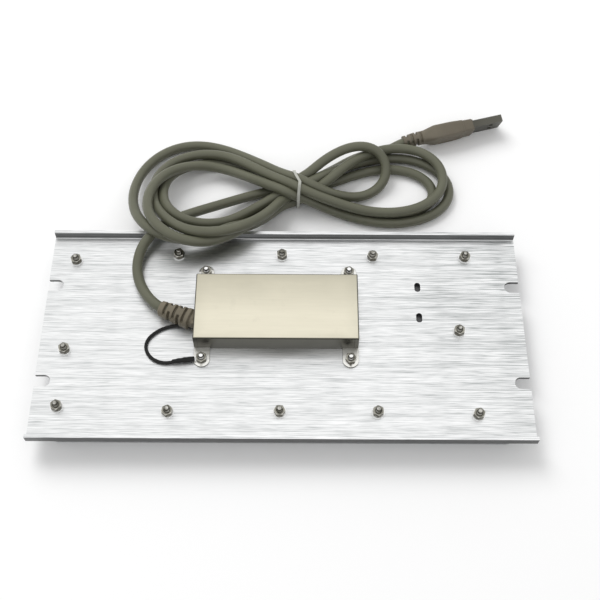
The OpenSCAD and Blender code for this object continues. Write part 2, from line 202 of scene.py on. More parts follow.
def curve_piece(name, points, diameter, material, resolution=4, order=4, caps=True):
    """A round tube along the points (mm): one open NURBS spline with a round bevel."""
    c = bpy.data.curves.new(name, "CURVE")
    c.dimensions = "3D"
    c.bevel_depth = diameter / 2 * MM
    c.bevel_resolution = resolution
    c.resolution_u = 3
    c.use_fill_caps = caps
    s = c.splines.new("NURBS")
    s.points.add(len(points) - 1)
    for i, p in enumerate(points):
        s.points[i].co = (p[0] * MM, p[1] * MM, p[2] * MM, 1)
    s.order_u = order
    s.use_endpoint_u = True
    s.use_smooth = True
    o = bpy.data.objects.new(name, c)
    scene.collection.objects.link(o)
    c.materials.append(material)
    return o


def mesh_piece(name, verts, faces, material, smooth=True, angle=None):
    m = bpy.data.meshes.new(name)
    m.from_pydata([tuple(float(c) * MM for c in v) for v in verts], [], faces)
    m.validate()
    bm = bmesh.new()
    bm.from_mesh(m)
    bmesh.ops.remove_doubles(bm, verts=bm.verts, dist=1e-7)
    bmesh.ops.recalc_face_normals(bm, faces=bm.faces)
    bm.to_mesh(m)
    bm.free()
    if smooth:
        if angle is None:
            m.shade_smooth()
        else:
            m.shade_smooth()
            bm = bmesh.new()
            bm.from_mesh(m)
            for e in bm.edges:
                if len(e.link_faces) == 2 and e.calc_face_angle(0) > math.radians(angle):
                    e.smooth = False
            bm.to_mesh(m)
            bm.free()
    m.materials.append(material)
    o = bpy.data.objects.new(name, m)
    scene.collection.objects.link(o)
    return o


def loft(rings, close=True):
    """Verts and faces of a skin over rings of equal point counts, with flat ends."""
    verts = [p for r in rings for p in r]
    n, faces = len(rings[0]), []
    for i in range(len(rings) - 1):
        for k in range(n):
            k2 = (k + 1) % n
            faces.append((i * n + k, i * n + k2, (i + 1) * n + k2, (i + 1) * n + k))
    if close:
        faces.append(tuple(range(n - 1, -1, -1)))
        faces.append(tuple(range((len(rings) - 1) * n, len(rings) * n)))
    return verts, faces


def joined(parts):
    """Several (verts, faces) as one."""
    verts, faces = [], []
    for v, f in parts:
        o = len(verts)
        verts += list(v)
        faces += [tuple(i + o for i in q) for q in f]
    return verts, faces


def revolve(profile, n, at=(0, 0), wobble=None):
    """A lathe form about Z at the given place; the profile is (radius, z), bottom to top."""
    rings = []
    for r, z in profile:
        r = max(r, 0.001)
        rings.append([
            (at[0] + r * math.cos(2 * math.pi * k / n), at[1] + r * math.sin(2 * math.pi * k / n), z)
            for k in range(n)
        ])
    return loft(rings)


# ---------------------------------------------------------------- materials
class Nodes:
    """A short hand for building one material's node tree."""

    def __init__(self, name):
        self.m = bpy.data.materials.new(name)
        self.m.use_nodes = True
        self.t = self.m.node_tree
        self.t.nodes.clear()
        self.out = self.t.nodes.new("ShaderNodeOutputMaterial")
        self.b = self.t.nodes.new("ShaderNodeBsdfPrincipled")
        self.t.links.new(self.b.outputs[0], self.out.inputs["Surface"])
        self.tc = self.t.nodes.new("ShaderNodeTexCoord")
        self._geo = None

    def link(self, a, b):
        self.t.links.new(a, b)

    def noise(self, scale, detail=3.0, rough=0.5, distort=0.0, shift=(0, 0, 0)):
        mp = self.t.nodes.new("ShaderNodeMapping")
        mp.inputs["Scale"].default_value = scale
        mp.inputs["Location"].default_value = shift
        self.link(self.tc.outputs["Object"], mp.inputs["Vector"])
        n = self.t.nodes.new("ShaderNodeTexNoise")
        n.inputs["Scale"].default_value = 1.0
        n.inputs["Detail"].default_value = detail
        n.inputs["Roughness"].default_value = rough
        n.inputs["Distortion"].default_value = distort
        self.link(mp.outputs[0], n.inputs["Vector"])
        return n.outputs["Fac"]

    def remap(self, v, a, b, c=0.0, d=1.0):
        r = self.t.nodes.new("ShaderNodeMapRange")
        r.inputs["From Min"].default_value = a
        r.inputs["From Max"].default_value = b
        r.inputs["To Min"].default_value = c
        r.inputs["To Max"].default_value = d
        self.link(v, r.inputs["Value"])
        return r.outputs["Result"]

    def math(self, op, a, b=None, c=None):
        n = self.t.nodes.new("ShaderNodeMath")
        n.operation = op
        for i, v in enumerate((a, b, c)):
            if v is None:
                continue
            if isinstance(v, (int, float)):
                n.inputs[i].default_value = v
            else:
                self.link(v, n.inputs[i])
        return n.outputs[0]

    def mix(self, fac, a, b):
        n = self.t.nodes.new("ShaderNodeMix")
        n.data_type = "RGBA"
        if isinstance(fac, (int, float)):
            n.inputs[0].default_value = fac
        else:
            self.link(fac, n.inputs[0])
        for i, v in ((6, a), (7, b)):
            if isinstance(v, tuple):
                n.inputs[i].default_value = (*v, 1)
            else:
                self.link(v, n.inputs[i])
        return n.outputs[2]

    def geo(self, axis):
        """The face's true normal along an axis, or a coordinate: nx ny nz x y z."""
        if self._geo is None:
            g = self.t.nodes.new("ShaderNodeNewGeometry")
            s1 = self.t.nodes.new("ShaderNodeSeparateXYZ")
            s2 = self.t.nodes.new("ShaderNodeSeparateXYZ")
            self.link(g.outputs["True Normal"], s1.inputs[0])
            self.link(self.tc.outputs["Object"], s2.inputs[0])
            self._geo = {"nx": s1.outputs[0], "ny": s1.outputs[1], "nz": s1.outputs[2],
                         "x": s2.outputs[0], "y": s2.outputs[1], "z": s2.outputs[2]}
        return self._geo[axis]

    def bump(self, height, strength, distance):
        n = self.t.nodes.new("ShaderNodeBump")
        n.inputs["Strength"].default_value = strength
        n.inputs["Distance"].default_value = distance
        self.link(height, n.inputs["Height"])
        self.link(n.outputs[0], self.b.inputs["Normal"])

    def set(self, **kw):
        names = {"metal": "Metallic", "rough": "Roughness", "spec": "Specular IOR Level", "aniso": "Anisotropic",
                 "coat": "Coat Weight", "coat_rough": "Coat Roughness", "sheen": "Sheen Weight", "sss": "Subsurface Weight"}
        for k, v in kw.items():
            s = self.b.inputs[names[k]]
            if isinstance(v, (int, float)):
                s.default_value = v
            else:
                self.link(v, s)
        return self

    def color(self, v):
        if isinstance(v, tuple):
            self.b.inputs["Base Color"].default_value = (*v, 1)
        else:
            self.link(v, self.b.inputs["Base Color"])
        return self


def plain(name, a, b, scale=(300, 300, 300), metal=0.0, rough=(0.4, 0.6), bump=0.15, depth=0.0001, detail=4.0, **kw):
    """A surface with a fine mottle between two colours, its own gloss variation and grain."""
    n = Nodes(name)
    big = n.noise(tuple(s * 0.15 for s in scale), 3.0)
    fine = n.noise(scale, detail, 0.6)
    n.color(n.mix(n.remap(big, 0.3, 0.7), a, b))
    n.set(metal=metal, rough=n.remap(fine, 0.25, 0.75, rough[0], rough[1]), **kw)
    n.bump(fine, bump, depth)
    return n.m


def brushed(name, light, dark, front_shade, rough=(0.22, 0.42), along="X", lines=1100.0, bands=240.0, length=22.0, aniso=0.6, cut=0.3, metal=1.0, right_far_dark=0.0):
    """Sheet metal with long straight brushing and bands of darker lines; faces turned towards -Y get painted shade in
    the front colour, standing in for the dark reflection they show.
    """
    n = Nodes(name)

    def sc(a, b):
        return (a, b, b) if along == "X" else (b, a, b)

    def scratch(a, b, shift, reach):
        """Thin dark lines where the noise crosses its middle value."""
        v = n.noise(sc(a, b), 1.0, 0.4, shift=shift)
        return n.remap(n.math("ABSOLUTE", n.math("SUBTRACT", v, 0.5)), 0.0, reach)

    fine = n.noise(sc(length, lines), 2.0, 0.6)
    mid = scratch(length * 0.16, bands * 0.62, (3.1, 1.7, 0.4), 0.055)
    thin = scratch(length * 0.34, bands, (0.6, 4.4, 2.2), 0.05)
    wide = n.noise(sc(length * 0.06, bands * 0.2), 3.0, 0.6, shift=(7.3, 0.2, 5.1))
    streak = n.math("ADD", n.math("MULTIPLY", mid, 0.34), n.math("MULTIPLY", thin, 0.24))
    streak = n.math("ADD", streak, n.math("MULTIPLY", n.remap(fine, 0.40, 0.56), 0.30))
    streak = n.math("ADD", streak, n.math("MULTIPLY", n.remap(wide, 0.38, 0.6), 0.12))
    # darker, deeper streak lines towards the right and far part of the sheet
    if right_far_dark:
        right = n.math("MULTIPLY", n.remap(n.geo("x"), 0.04, 0.134), n.remap(n.geo("y"), -0.05, 0.02, right_far_dark * 0.4, right_far_dark))
        deep = n.math("SUBTRACT", 1.0, n.math("MULTIPLY", mid, thin))
        streak = n.math("MAXIMUM", n.math("SUBTRACT", streak, n.math("MULTIPLY", right, deep)), 0.0)
    col = n.mix(streak, dark, light)
    # painted shade: faces turned towards -Y take the dark front colour in place of the dark reflection they show
    front_shade_mask = n.remap(n.math("MULTIPLY", n.geo("ny"), -1.0), cut, cut + 0.35)
    col = n.mix(front_shade_mask, col, front_shade)
    n.color(col)
    n.set(metal=metal, rough=n.remap(streak, 0.0, 1.0, rough[1], rough[0]), aniso=aniso)
    n.bump(n.math("ADD", n.math("MULTIPLY", fine, 0.6), n.math("MULTIPLY", mid, 0.4)), 0.10, 0.00006)
    return n


M = {}
# panel, cover and small metal
# the third colour of each brushed metal is the painted shade on its faces turned towards -Y
_n = brushed("brushed_panel", (0.985, 0.99, 0.99), (0.36, 0.38, 0.38), (0.15, 0.152, 0.152), rough=(0.34, 0.5), lines=3000.0, bands=2150.0, length=80.0, right_far_dark=0.55)
M["panel"] = _n.m
_n = brushed("fascia_steel", (0.72, 0.73, 0.74), (0.5, 0.51, 0.52), (0.4, 0.41, 0.42), lines=1500.0, bands=400.0)
M["fascia"] = _n.m
_n = brushed("key_steel", (0.8, 0.81, 0.82), (0.6, 0.61, 0.62), (0.45, 0.46, 0.47), along="Y", lines=1800.0, bands=600.0)
M["key"] = _n.m


def cover_metal():
    """Warm nickel plating with faint random tone, fine lines and spots; painted reflection lighter on the near side of
    the top, darker towards the top's edges, painted shade on the bends and walls with a dark line along the bends,
    bright foot tabs.
    """
    n = Nodes("cover_nickel")
    cloud = n.noise((30, 45, 30), 3.0, 0.6)
    fine = n.noise((50, 900, 900), 2.0, 0.6)
    spots = n.noise((170, 170, 170), 3.0, 0.6, shift=(2.2, 4.1, 0.3))
    # painted reflection: the top is lighter on the near side and darker towards the far side
    near = n.remap(n.geo("y"), 0.030, 0.006)
    col = n.mix(near, (0.52, 0.492, 0.39), (0.785, 0.743, 0.605))
    col = n.mix(n.remap(cloud, 0.34, 0.7, 0.0, 0.35), col, (0.76, 0.715, 0.575))
    col = n.mix(n.remap(fine, 0.3, 0.75, 0.0, 0.07), col, (0.45, 0.43, 0.35))
    # darker towards the edges of the top, broken up by noise
    ex = n.remap(n.math("ABSOLUTE", n.math("SUBTRACT", n.geo("x"), -0.00375)), 0.0375, 0.0452)
    ey = n.remap(n.math("ABSOLUTE", n.math("SUBTRACT", n.geo("y"), 0.01075)), 0.0150, 0.0204)
    edge = n.math("MULTIPLY", n.math("MAXIMUM", ex, ey), n.remap(cloud, 0.3, 0.65, 0.15, 0.75))
    col = n.mix(n.math("MULTIPLY", edge, 0.55), col, (0.47, 0.45, 0.36))
    col = n.mix(n.remap(spots, 0.6, 0.78, 0.0, 0.18), col, (0.55, 0.52, 0.42))
    # painted shade: a thin dark line where the top starts to bend down into the walls
    bend_shade_x = n.remap(n.math("ABSOLUTE", n.math("SUBTRACT", n.geo("x"), -0.00375)), 0.04470, 0.04500)
    bend_shade_y = n.remap(n.math("ABSOLUTE", n.math("SUBTRACT", n.geo("y"), 0.01075)), 0.01995, 0.02025)
    col = n.mix(n.math("MULTIPLY", n.math("MAXIMUM", bend_shade_x, bend_shade_y), 0.8), col, (0.15, 0.145, 0.115))
    # painted shade: the bends and walls are dark by their slope, darker low down and darkest just under the top bend
    side = n.remap(n.geo("nz"), 0.985, 0.80)
    wall_shade = n.mix(n.remap(n.geo("z"), 0.013, 0.0235), (0.085, 0.083, 0.072), (0.145, 0.142, 0.122))
    wall_shade = n.mix(n.remap(n.geo("z"), 0.0230, 0.0236), wall_shade, (0.05, 0.048, 0.04))
    col = n.mix(side, col, wall_shade)
    tab = n.math("MULTIPLY", n.remap(n.geo("z"), 0.0136, 0.0133), n.remap(n.geo("nz"), 0.4, 0.7))
    col = n.mix(tab, col, n.mix(n.remap(fine, 0.3, 0.7), (0.80, 0.79, 0.74), (0.90, 0.895, 0.86)))
    n.color(col)
    n.set(metal=1.0, rough=n.remap(fine, 0.3, 0.7, 0.28, 0.38), aniso=0.3)
    n.bump(n.math("ADD", fine, n.math("MULTIPLY", spots, 0.6)), 0.08, 0.00006)
    return n.m


M["cover"] = cover_metal()
M["seam"] = plain("seam_dark", (0.03, 0.029, 0.025), (0.05, 0.048, 0.04), metal=0.6, rough=(0.45, 0.6))


def nut_metal():
    """Dull nickel with a grey flat top, a painted highlight on the chamfer all round it and painted shade on the
    flanks.
    """
    n = Nodes("nut_nickel")
    fine = n.noise((420, 420, 900), 4.0, 0.6)
    big = n.noise((190, 190, 190), 2.0)
    top = n.mix(n.remap(big, 0.35, 0.65), (0.33, 0.32, 0.275), (0.17, 0.165, 0.14))
    # painted highlight on the chamfer and painted shade on the flanks, chosen by the face's slope
    chamfer_highlight = n.mix(n.remap(fine, 0.3, 0.7), (0.58, 0.57, 0.52), (0.36, 0.35, 0.31))
    side = n.mix(n.remap(fine, 0.3, 0.7), (0.13, 0.122, 0.095), (0.06, 0.056, 0.045))
    col = n.mix(n.remap(n.geo("nz"), 0.25, 0.6), side, chamfer_highlight)
    n.color(n.mix(n.remap(n.geo("nz"), 0.93, 0.98), col, top))
    n.set(metal=1.0, rough=n.remap(fine, 0.25, 0.75, 0.2, 0.36))
    n.bump(fine, 0.2, 0.00006)
    return n.m


def stud_metal(name, light, dark):
    """Turned steel: a painted highlight on the rounded tip, painted shade on the thread below it."""
    n = Nodes(name)
    fine = n.noise((500, 500, 900), 3.0, 0.6)
    big = n.noise((210, 210, 210), 2.0, shift=(1.3, 0.7, 2.9))
    # painted highlight on the upward-facing tip, painted shade on the thread
    tip_highlight = n.mix(n.remap(big, 0.38, 0.62), light, dark)
    thread_shade = n.mix(n.remap(fine, 0.3, 0.7), (0.07, 0.066, 0.052), (0.035, 0.033, 0.026))
    n.color(n.mix(n.remap(n.geo("nz"), 0.72, 0.93), thread_shade, tip_highlight))
    n.set(metal=1.0, rough=n.remap(fine, 0.25, 0.75, 0.14, 0.26))
    n.bump(fine, 0.12, 0.00004)
    return n.m


M["nut"] = nut_metal()
M["cnut"] = M["nut"]
M["stud"] = stud_metal("stud_steel", (0.62, 0.61, 0.57), (0.16, 0.155, 0.13))
# the cover studs' tips carry a brighter painted highlight than the panel studs
M["cstud"] = stud_metal("stud_steel_highlight", (0.98, 0.98, 0.97), (0.86, 0.86, 0.84))
M["washer"] = plain("washer_steel", (0.93, 0.93, 0.92), (0.80, 0.80, 0.79), (700, 700, 700), metal=1.0, rough=(0.25, 0.4), bump=0.15, depth=0.00004)
M["tin"] = plain("terminal_tin", (0.72, 0.72, 0.70), (0.5, 0.5, 0.49), (500, 500, 500), metal=1.0, rough=(0.25, 0.4))
M["shell"] = plain("plug_steel", (0.115, 0.112, 0.094), (0.068, 0.066, 0.055), (200, 60, 200), metal=0.85, rough=(0.35, 0.5), bump=0.1)
M["gold"] = plain("contact_gold", (0.85, 0.62, 0.24), (0.7, 0.5, 0.2), (300, 300, 300), metal=1.0, rough=(0.2, 0.35))
# plastics, rubber and boards
M["cable"] = plain("cable_olive", (0.118, 0.120, 0.083), (0.099, 0.101, 0.068), (260, 260, 260), rough=(0.36, 0.5), bump=0.10, depth=0.00008, spec=0.42)
M["boot"] = plain("relief_taupe", (0.185, 0.160, 0.114), (0.128, 0.111, 0.079), (320, 320, 320), rough=(0.45, 0.62), bump=0.25, depth=0.0001, spec=0.4)
M["plug"] = plain("plug_taupe", (0.150, 0.132, 0.098), (0.118, 0.102, 0.075), (240, 240, 240), rough=(0.42, 0.58), bump=0.16, depth=0.0001, spec=0.4)
M["tie"] = plain("tie_grey", (0.46, 0.465, 0.42), (0.33, 0.335, 0.30), (500, 500, 500), rough=(0.35, 0.5), bump=0.2)
M["wire"] = plain("wire_black", (0.006, 0.006, 0.006), (0.012, 0.012, 0.011), (400, 400, 400), rough=(0.4, 0.52), bump=0.1, spec=0.25)
M["shrink"] = plain("shrink_black", (0.006, 0.006, 0.006), (0.012, 0.012, 0.011), (500, 500, 500), rough=(0.45, 0.6), bump=0.3, spec=0.25)
M["foam"] = plain("black_foam", (0.02, 0.02, 0.02), (0.05, 0.05, 0.05), (900, 900, 900), rough=(0.8, 0.95), bump=0.5)
M["mat"] = plain("silicone", (0.12, 0.12, 0.13), (0.09, 0.09, 0.1), (300, 300, 300), rough=(0.55, 0.7))
M["board"] = plain("circuit_board", (0.02, 0.14, 0.055), (0.03, 0.19, 0.08), (260, 260, 260), rough=(0.25, 0.4), coat=0.3)
M["film"] = plain("film", (0.025, 0.025, 0.027), (0.04, 0.04, 0.042), (120, 120, 120), rough=(0.18, 0.3), coat=0.4)
M["chip"] = plain("chip_black", (0.018, 0.018, 0.018), (0.03, 0.03, 0.03), (900, 900, 900), rough=(0.5, 0.65), bump=0.2)
M["nylon"] = plain("nylon", (0.80, 0.78, 0.7), (0.72, 0.7, 0.63), (300, 300, 300), rough=(0.4, 0.55))
M["ribbon"] = plain("ribbon", (0.7, 0.7, 0.65), (0.5, 0.5, 0.47), (900, 900, 20), rough=(0.4, 0.55))
M["core"] = plain("core_red", (0.5, 0.05, 0.04), (0.36, 0.04, 0.03), (300, 300, 300), rough=(0.35, 0.5))

NODE_MAT = {
    "front_fascia": ("fascia", "fascia_steel"), "fascia_studs": ("stud", "stud_steel"), "fascia_gasket": ("foam", "black_foam"),
    "key_mat": ("mat", "silicone"), "key_circuit_board": ("board", "circuit_board"), "insulating_film": ("film", "film"),
    "matrix_chip": ("chip", "chip_black"), "rear_panel": ("panel", "brushed_panel"), "stud_washers": ("washer", "washer_steel"),
    "stud_nuts": ("nut", "nut_nickel"), "controller_cover": ("cover", "cover_nickel"), "cover_studs": ("stud", "stud_steel"),
    "cover_nuts": ("nut", "nut_nickel"), "board_spacers": ("nylon", "nylon"), "controller_board": ("board", "circuit_board"),
    "controller_chips": ("chip", "chip_black"), "cable_header": ("nylon", "nylon"), "ribbon_cable": ("ribbon", "ribbon"),
    "cable_cores": ("core", "core_red"), "strain_relief": ("boot", "relief_taupe"), "usb_cable_lead": ("cable", "cable_olive"),
    "usb_cable_hank": ("cable", "cable_olive"), "usb_cable_tail": ("cable", "cable_olive"), "cable_tie": ("tie", "tie_grey"),
    "plug_overmold": ("plug", "plug_taupe"), "plug_shell": ("shell", "plug_steel"), "plug_tongue": ("nylon", "nylon"),
    "plug_contacts": ("gold", "contact_gold"), "ground_wire": ("wire", "wire_black"), "heat_shrink": ("shrink", "shrink_black"),
    "ring_terminal": ("tin", "terminal_tin"),
}
for _name, _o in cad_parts.items():
    _key = NODE_MAT.get(_name, ("key", "key_steel"))
    _o.data.materials.clear()
    _o.data.materials.append(M[_key[0]])
    for _p in _o.data.polygons:
        _p.material_index = 0

# ---------------------------------------------------------------- the cable
START = resample([p for row in WAY for p in row], 3.0)
ROPE = lay_down(START, CORD_D, 3.0, 130, 6, 4)
ROPE = smooth_line(ROPE, 2)
cable = curve_piece("usb_cable", ROPE[::2] if len(ROPE) % 2 else np.vstack([ROPE[::2], ROPE[-1:]]), CORD_D, M["cable"], resolution=5)
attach(cable, "chassis")
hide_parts("usb_cable_lead", "usb_cable_hank", "usb_cable_tail")


# ---------------------------------------------------------------- strain relief
def smoothstep(a, b, v):
    t = min(max((v - a) / (b - a), 0.0), 1.0)
    return t * t * (3 - 2 * t)


def boot_rings(s_list, radius, slots, width, depth, n=64, square=2.6, start=0.0):
    """Rings of a ribbed, tapered sleeve along local x, its slots turned a quarter from one to the next."""
    rings = []
    for s in s_list:
        ring = []
        for k in range(n):
            a = 2 * math.pi * (k + 0.5) / n
            c, d = math.cos(a), math.sin(a)
            e = 2.0 / square
            u = math.copysign(abs(c) ** e, c)
            w = math.copysign(abs(d) ** e, d)
            r = radius(s)
            cut = 0.0
            for i, s0 in enumerate(slots):
                edge = smoothstep(width / 2 + 0.22, width / 2 - 0.12, abs(s - s0))
                side = abs(d) if i % 2 == 0 else abs(c)
                cut = max(cut, edge * smoothstep(0.30, 0.52, side))
            f = 1 - depth * cut / max(r, 0.1)
            ring.append((s, r * f * u, r * f * w))
        rings.append(ring)
    return rings


def placed(points, origin, degrees, lean=0.0):
    c, s = math.cos(math.radians(degrees)), math.sin(math.radians(degrees))
    cl, sl = math.cos(math.radians(lean)), math.sin(math.radians(lean))
    points = [(x, cl * y - sl * z, sl * y + cl * z) for x, y, z in points]
    return [(origin[0] + c * x - s * y, origin[1] + s * x + c * y, origin[2] + z) for x, y, z in points]


def box_form(lo, hi, r=0.4):
    """A block with rounded upright edges and softened top and bottom."""
    rings = []
    for z, inset in ((lo[2], r), (lo[2] + r * 0.3, r * 0.3), (lo[2] + r, 0), (hi[2] - r, 0), (hi[2] - r * 0.3, r * 0.3), (hi[2], r)):
        ring = []
        for cx, cy, a0 in ((hi[0] - r, hi[1] - r, 0), (lo[0] + r, hi[1] - r, 90), (lo[0] + r, lo[1] + r, 180), (hi[0] - r, lo[1] + r, 270)):
            for k in range(5):
                a = math.radians(a0 + 22.5 * k)
                rr = r - inset * 0.99
                ring.append((cx + rr * math.cos(a), cy + rr * math.sin(a), z))
        rings.append(ring)
    return loft(rings)


BOOT_AT, BOOT_TURN = (-50.4, 4.5, 18.0), 158.0


def boot_radius(s):
    if s < 1.6:
        return 4.2 + 1.5 * smoothstep(0.5, 1.6, s)
    return 5.7 - (5.7 - 4.25) * min((s - 1.6) / 17.2, 1.0) - 0.75 * smoothstep(19.2, 20.0, s)


_s = sorted({round(v, 3) for v in np.r_[np.arange(-1, 20.01, 0.25), np.arange(19.2, 20.01, 0.1)]})
_rings = boot_rings(_s, boot_radius, [4.4, 7.3, 10.2, 13.1, 16.0], 1.25, 1.75)
_v, _f = loft([placed(r, BOOT_AT, BOOT_TURN) for r in _rings])
_parts = [(_v, _f), box_form((-51.2, 0.1, 13.2), (-46.2, 8.9, 21.9), 0.5), box_form((-48.2, -1.5, 12.6), (-46.2, 10.5, 22.6), 0.4)]
boot = mesh_piece("strain_relief_boot", *joined(_parts), M["boot"], angle=50)
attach(boot, "chassis")
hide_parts("strain_relief")

# ---------------------------------------------------------------- plug
PLUG_AT, PLUG_TURN, PLUG_LEAN = (74.0, 140.2, 7.3), 15.6, 20.0


def plug_half(x):
    """Half width (flat side) and half height of the moulding at x, and how square it is."""
    if x < 13:
        r = 3.5 + 0.75 * smoothstep(0, 9, x)
        return r, r, 2.2
    t = smoothstep(13, 21.5, x)
    wy, wz, sq = 4.3 + 0.75 * t * (1 - smoothstep(30, 44, x)) , 4.3 + 2.4 * t, 2.2 + 3.6 * t
    if x > 39.2:
        wy, wz = wy - 0.22, wz - 0.3
    end = smoothstep(44.8, 46.0, x)
    return wy - 0.5 * end, wz - 0.5 * end, sq


_rings = []
_xs = sorted({round(float(v), 3) for v in np.r_[np.arange(0, 13, 0.25), np.arange(13, 38, 0.5), [38.9, 39.1, 39.3], np.arange(39.5, 44.5, 1.0), np.arange(44.5, 46.01, 0.25)]})
for _x in _xs:
    _wy, _wz, _sq = plug_half(_x)
    _ring = []
    for _k in range(72):
        _a = 2 * math.pi * (_k + 0.5) / 72
        _c, _d = math.cos(_a), math.sin(_a)
        _e = 2 / _sq
        _cut = 0.0
        for _i, _s0 in enumerate((2.6, 5.6, 8.6, 11.4)):
            _edge = smoothstep(0.85, 0.45, abs(_x - _s0))
            _side = abs(_c) if _i % 2 == 0 else abs(_d)
            _cut = max(_cut, _edge * smoothstep(0.25, 0.45, _side))
        _q = 1 - 1.15 * _cut / max(_wy, 0.1) * (1 if _x < 13 else 0)
        _pt = [_x, _wy * _q * math.copysign(abs(_c) ** _e, _c), _wz * _q * math.copysign(abs(_d) ** _e, _d)]
        # shallow grip panel pressed into the two broad sides
        _in = smoothstep(23.0, 24.2, _x) * smoothstep(37.0, 35.8, _x) * smoothstep(4.6, 3.8, abs(_pt[2])) * smoothstep(2.4, 3.4, abs(_pt[1]))
        _pt[1] -= math.copysign(0.35 * _in, _pt[1])
        _ring.append(tuple(_pt))
    _rings.append([(x, y, max(z, 0.1)) for x, y, z in placed(_ring, PLUG_AT, PLUG_TURN, PLUG_LEAN)])
plug = mesh_piece("plug_moulding", *loft(_rings), M["plug"], angle=38)
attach(plug, "chassis")
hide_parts("plug_overmold")

# ---------------------------------------------------------------- tie
_near = ROPE[np.abs(ROPE[:, 0] - 6.3) < 3.2]
_pts = []
for _p in _near:
    for _k in range(24):
        _a = 2 * math.pi * _k / 24
        _pts.append((_p[1] + 3.35 * math.cos(_a), max(_p[2] + 3.35 * math.sin(_a), 0.25)))


def hull2(points):
    points = sorted(set((round(a, 4), round(b, 4)) for a, b in points))

    def half(seq):
        out = []
        for p in seq:
            while len(out) > 1 and (out[-1][0] - out[-2][0]) * (p[1] - out[-2][1]) - (out[-1][1] - out[-2][1]) * (p[0] - out[-2][0]) <= 0:
                out.pop()
            out.append(p)
        return out

    lower, upper = half(points), half(points[::-1])
    return lower[:-1] + upper[:-1]


_h = np.array(hull2(_pts))
_h = np.vstack([_h, _h[:1]])
_d = np.r_[0, np.cumsum(np.linalg.norm(np.diff(_h, axis=0), axis=1))]
_t = np.linspace(0, _d[-1], 97)[:-1]
_h = np.stack([np.interp(_t, _d, _h[:, 0]), np.interp(_t, _d, _h[:, 1])], 1)
_mid = _h.mean(0)
_rings = []
for _i in range(96):
    _y, _z = _h[_i]
    _o = (_h[_i] - _mid) / np.linalg.norm(_h[_i] - _mid)
    if _z > 8:
        _lean = float(np.interp(_y, [90, 98.9, 101.2, 104, 107, 111.9], [7.9, 8.95, 7.8, 6.5, 5.4, 5.3])) - 6.3
    else:
        _lean = float(np.interp(_y, [91, 111], [7.85, 5.3])) - 6.3
    _ring = []
    for _k in range(12):
        _a = 2 * math.pi * _k / 12
        _u = 0.9 * math.copysign(abs(math.cos(_a)) ** 0.6, math.cos(_a))
        _w = 0.33 * math.copysign(abs(math.sin(_a)) ** 0.8, math.sin(_a)) + 0.12 * math.cos(_a) ** 2 + 0.3 * smoothstep(99, 103, _y)
        _ring.append((6.3 + _lean + _u, _y + _o[0] * _w, max(_z + _o[1] * _w, 0.05)))
    _rings.append(_ring)
_verts = [p for r in _rings for p in r]
_faces = []
for _i in range(96):
    for _k in range(12):
        _a, _b = _i * 12, ((_i + 1) % 96) * 12
        _faces.append((_a + _k, _a + (_k + 1) % 12, _b + (_k + 1) % 12, _b + _k))
tie = mesh_piece("cable_tie_band", _verts, _faces, M["tie"])
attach(tie, "chassis")
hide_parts("cable_tie")

# ---------------------------------------------------------------- ground wire and its sleeve
GROUND = [
    (-46.5, -0.2, 16.4), (-50.2, 0.6, 16.2), (-54, 2.0, 15.4), (-60, 3.2, 13.6), (-65.5, 2.4, 13), (-70.6, -0.4, 13),
    (-74.8, -4.8, 13), (-76, -9.4, 13), (-74.6, -13.8, 13), (-71, -17.6, 13), (-65.6, -19.6, 13.1),
    (-59.8, -19.2, 13.4), (-54, -18.2, 13.8), (-51.6, -17.9, 13.9),
]
ground = curve_piece("ground_lead", resample(GROUND, 2.0), 1.9, M["wire"], resolution=4)
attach(ground, "chassis")
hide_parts("ground_wire")
_rings = []
for _i in range(29):
    _s = -9.0 + 12.4 * _i / 28
    _r = 1.05 + 0.3 * smoothstep(-9, -5.5, _s) + 0.2 * smoothstep(-4.0, -1.5, _s) + 0.05 * math.sin(_s * 2.1)
    _r -= 0.3 * smoothstep(3.0, 3.4, _s) + 0.2 * smoothstep(-8.7, -9.0, _s)
    _flat = 1 - 0.3 * smoothstep(-2.8, 1.2, _s)
    _rings.append(placed([(_s, _r * math.cos(2 * math.pi * k / 28), _r * _flat * math.sin(2 * math.pi * k / 28)) for k in range(28)], (-51.8, -18.0, 14.0), 8.0))
sleeve = mesh_piece("shrink_sleeve", *loft(_rings), M["shrink"], angle=50)
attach(sleeve, "chassis")
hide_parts("heat_shrink")


# ---------------------------------------------------------------- nuts and studs
def nut_form(at, z0, h, af, hole, turn):
    """A hexagon nut: chamfered above and below, with a countersunk bore."""
    n, rings = 72, []
    flat = af / 2
    for r_in, zi in ((hole, h * 0.5),):
        pass

    def ring(rad, zz):
        out = []
        for k in range(n):
            a = 2 * math.pi * k / n
            q = (a - turn + math.pi / 6) % (math.pi / 3) - math.pi / 6
            hexa = flat / math.cos(q)
            r, z = rad(hexa), zz(hexa)
            out.append((at[0] + r * math.cos(a), at[1] + r * math.sin(a), z0 + z))
        return out

    lip = flat * 0.96
    drop = 0.5

    def under(hexa):
        return max(0.0, (hexa - lip) * drop)

    prof = [
        (lambda x: hole, lambda x: 0.35), (lambda x: hole + 0.3, lambda x: 0.0), (lambda x: lip, lambda x: 0.0),
        (lambda x: x, under), (lambda x: x, lambda x: h - under(x)), (lambda x: lip, lambda x: h),
        (lambda x: hole + 0.3, lambda x: h), (lambda x: hole, lambda x: h - 0.35),
    ]
    rings = [ring(a, b) for a, b in prof]
    rings.append(rings[0])
    return loft(rings, close=False)


def stud_form(at, z0, z1, thread_from, r=1.5, pitch=0.5):
    """A stud with rolled threads on its free end and a domed, slightly hollow tip."""
    prof = [(0.0, z0), (r, z0), (r, thread_from)]
    z = thread_from
    while z + pitch < z1 - 0.75:
        prof += [(r - 0.24, z + pitch * 0.35), (r - 0.24, z + pitch * 0.5), (r, z + pitch * 0.9), (r, z + pitch)]
        z += pitch
    prof += [(r, z1 - 0.7), (r - 0.12, z1 - 0.42), (r - 0.42, z1 - 0.16), (r - 0.8, z1 - 0.03), (r - 1.1, z1), (0.0, z1 - 0.02)]
    return revolve(prof, 28, at)


